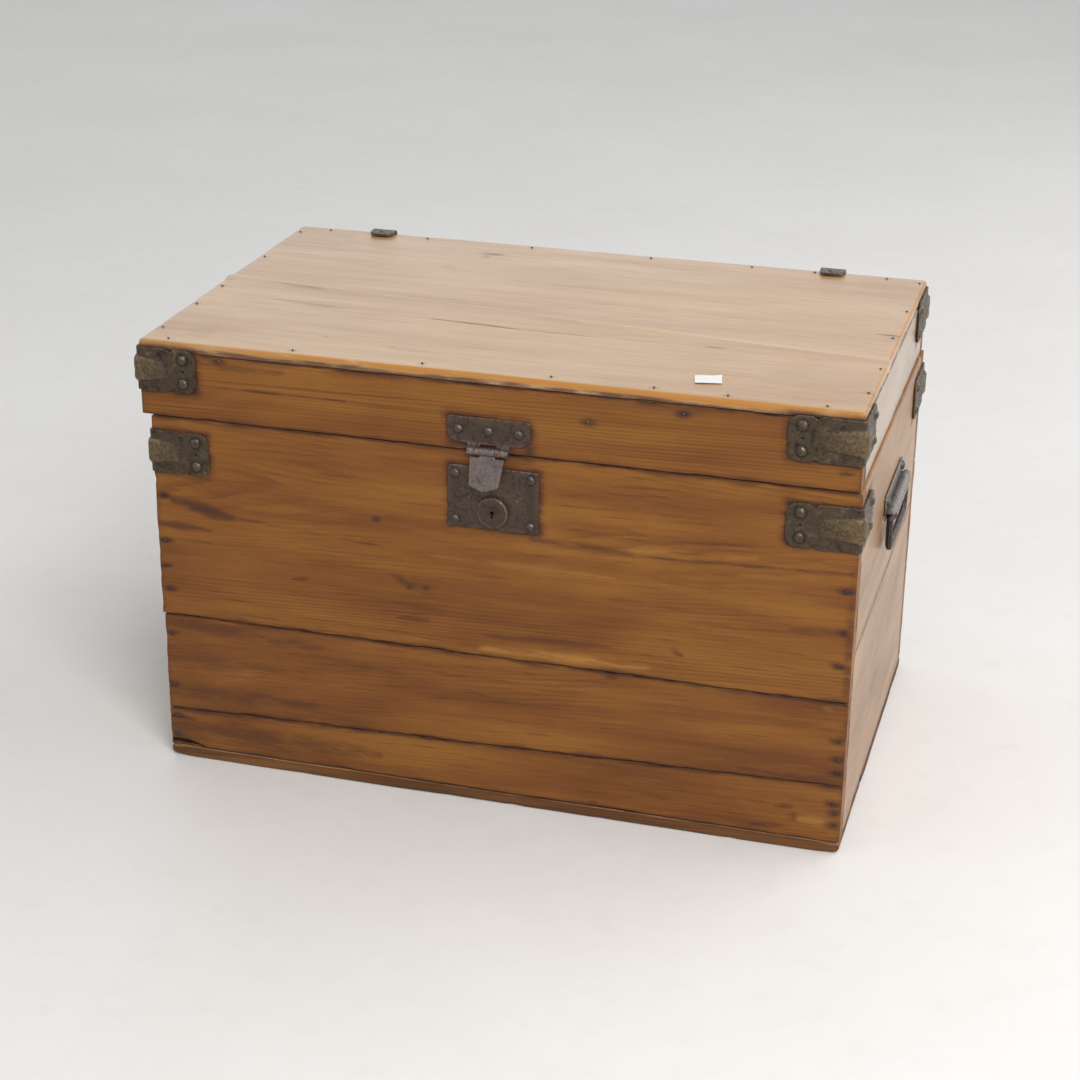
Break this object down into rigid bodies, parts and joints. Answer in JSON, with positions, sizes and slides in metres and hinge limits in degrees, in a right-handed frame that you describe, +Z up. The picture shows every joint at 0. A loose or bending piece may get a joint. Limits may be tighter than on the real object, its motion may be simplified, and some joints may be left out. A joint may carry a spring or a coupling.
{
  "type": "trunk",
  "caption": "Antique pine tack box: nailed plank case and hinged lid, stamped iron corners, hinged hasp over a let-in lock, strap hinges and drop handles",
  "frame": {"origin": "on the floor, in the middle of the case's underside", "axes": "+Z up, +X to the right as one faces the hasp, -Y out of the front"},
  "size_m": [0.7263, 0.465, 0.4577],
  "materials": {
    "pine": "aged satin",
    "pine_top": "waxed, glossy",
    "pine_bottom": "rough",
    "corner_iron": "aged",
    "dark_iron": "aged",
    "bail_iron": "rubbed",
    "nail_steel": "worn",
    "worn_steel": "worn"
  },
  "bodies": {
    "case": {"front_board_top": "pine", "front_board_middle": "pine", "front_board_bottom": "pine", "back_board_top": "pine", "back_board_middle": "pine", "back_board_bottom": "pine", "left_end_top": "pine", "left_end_bottom": "pine", "right_end_top": "pine", "right_end_bottom": "pine", "bottom_board_1": "pine_bottom", "bottom_board_2": "pine_bottom", "bottom_board_3": "pine_bottom", "case_iron_front_left": "corner_iron", "case_iron_front_right": "corner_iron", "case_iron_back_left": "corner_iron", "case_iron_back_right": "corner_iron", "lock_plate": "dark_iron", "lock_boss": "dark_iron", "lock_case": "dark_iron", "lock_nail_1": "nail_steel", "lock_nail_2": "nail_steel", "lock_nail_3": "nail_steel", "lock_nail_4": "nail_steel", "left_hinge_body_leaf": "dark_iron", "right_hinge_body_leaf": "dark_iron", "left_hinge_pin": "worn_steel", "right_hinge_pin": "worn_steel", "left_handle_plate": "dark_iron", "right_handle_plate": "dark_iron", "left_handle_nail_1": "nail_steel", "left_handle_nail_2": "nail_steel", "right_handle_nail_1": "nail_steel", "right_handle_nail_2": "nail_steel"},
    "lid": {"lid_front_rail": "pine", "lid_back_rail": "pine", "lid_left_rail": "pine", "lid_right_rail": "pine", "lid_top_front": "pine_top", "lid_top_back": "pine_top", "lid_iron_front_left": "corner_iron", "lid_iron_front_right": "corner_iron", "lid_iron_back_left": "corner_iron", "lid_iron_back_right": "corner_iron", "hasp_plate": "dark_iron", "hasp_pin": "worn_steel", "hasp_nail_1": "nail_steel", "hasp_nail_2": "nail_steel", "hasp_nail_3": "nail_steel", "left_hinge_lid_leaf": "dark_iron", "right_hinge_lid_leaf": "dark_iron"},
    "hasp": {"hasp_tongue": "worn_steel"},
    "bolt": {"lock_bolt": "worn_steel"},
    "left_bail": {"left_handle_bail": "bail_iron"},
    "right_bail": {"right_handle_bail": "bail_iron"}
  },
  "joints": [
    {"name": "lid_hinge", "type": "hinge", "parent": "case", "child": "lid", "pos_m": [0, 0.2223, 0.37515], "axis": [-1, 0, 0], "range_deg": [0, 105]},
    {"name": "hasp_hinge", "type": "hinge", "parent": "lid", "child": "hasp", "pos_m": [-0.0035, -0.2218, 0.377], "axis": [-1, 0, 0], "range_deg": [-25, 125]},
    {"name": "bolt_slide", "type": "slide", "parent": "case", "child": "bolt", "axis": [-1, 0, 0], "range_m": [0, 0.006]},
    {"name": "left_bail_hinge", "type": "hinge", "parent": "case", "child": "left_bail", "pos_m": [-0.3563, 0.012, 0.286], "axis": [0, 1, 0], "range_deg": [0, 90]},
    {"name": "right_bail_hinge", "type": "hinge", "parent": "case", "child": "right_bail", "pos_m": [0.3563, 0.012, 0.286], "axis": [0, -1, 0], "range_deg": [0, 90]}
  ]
}
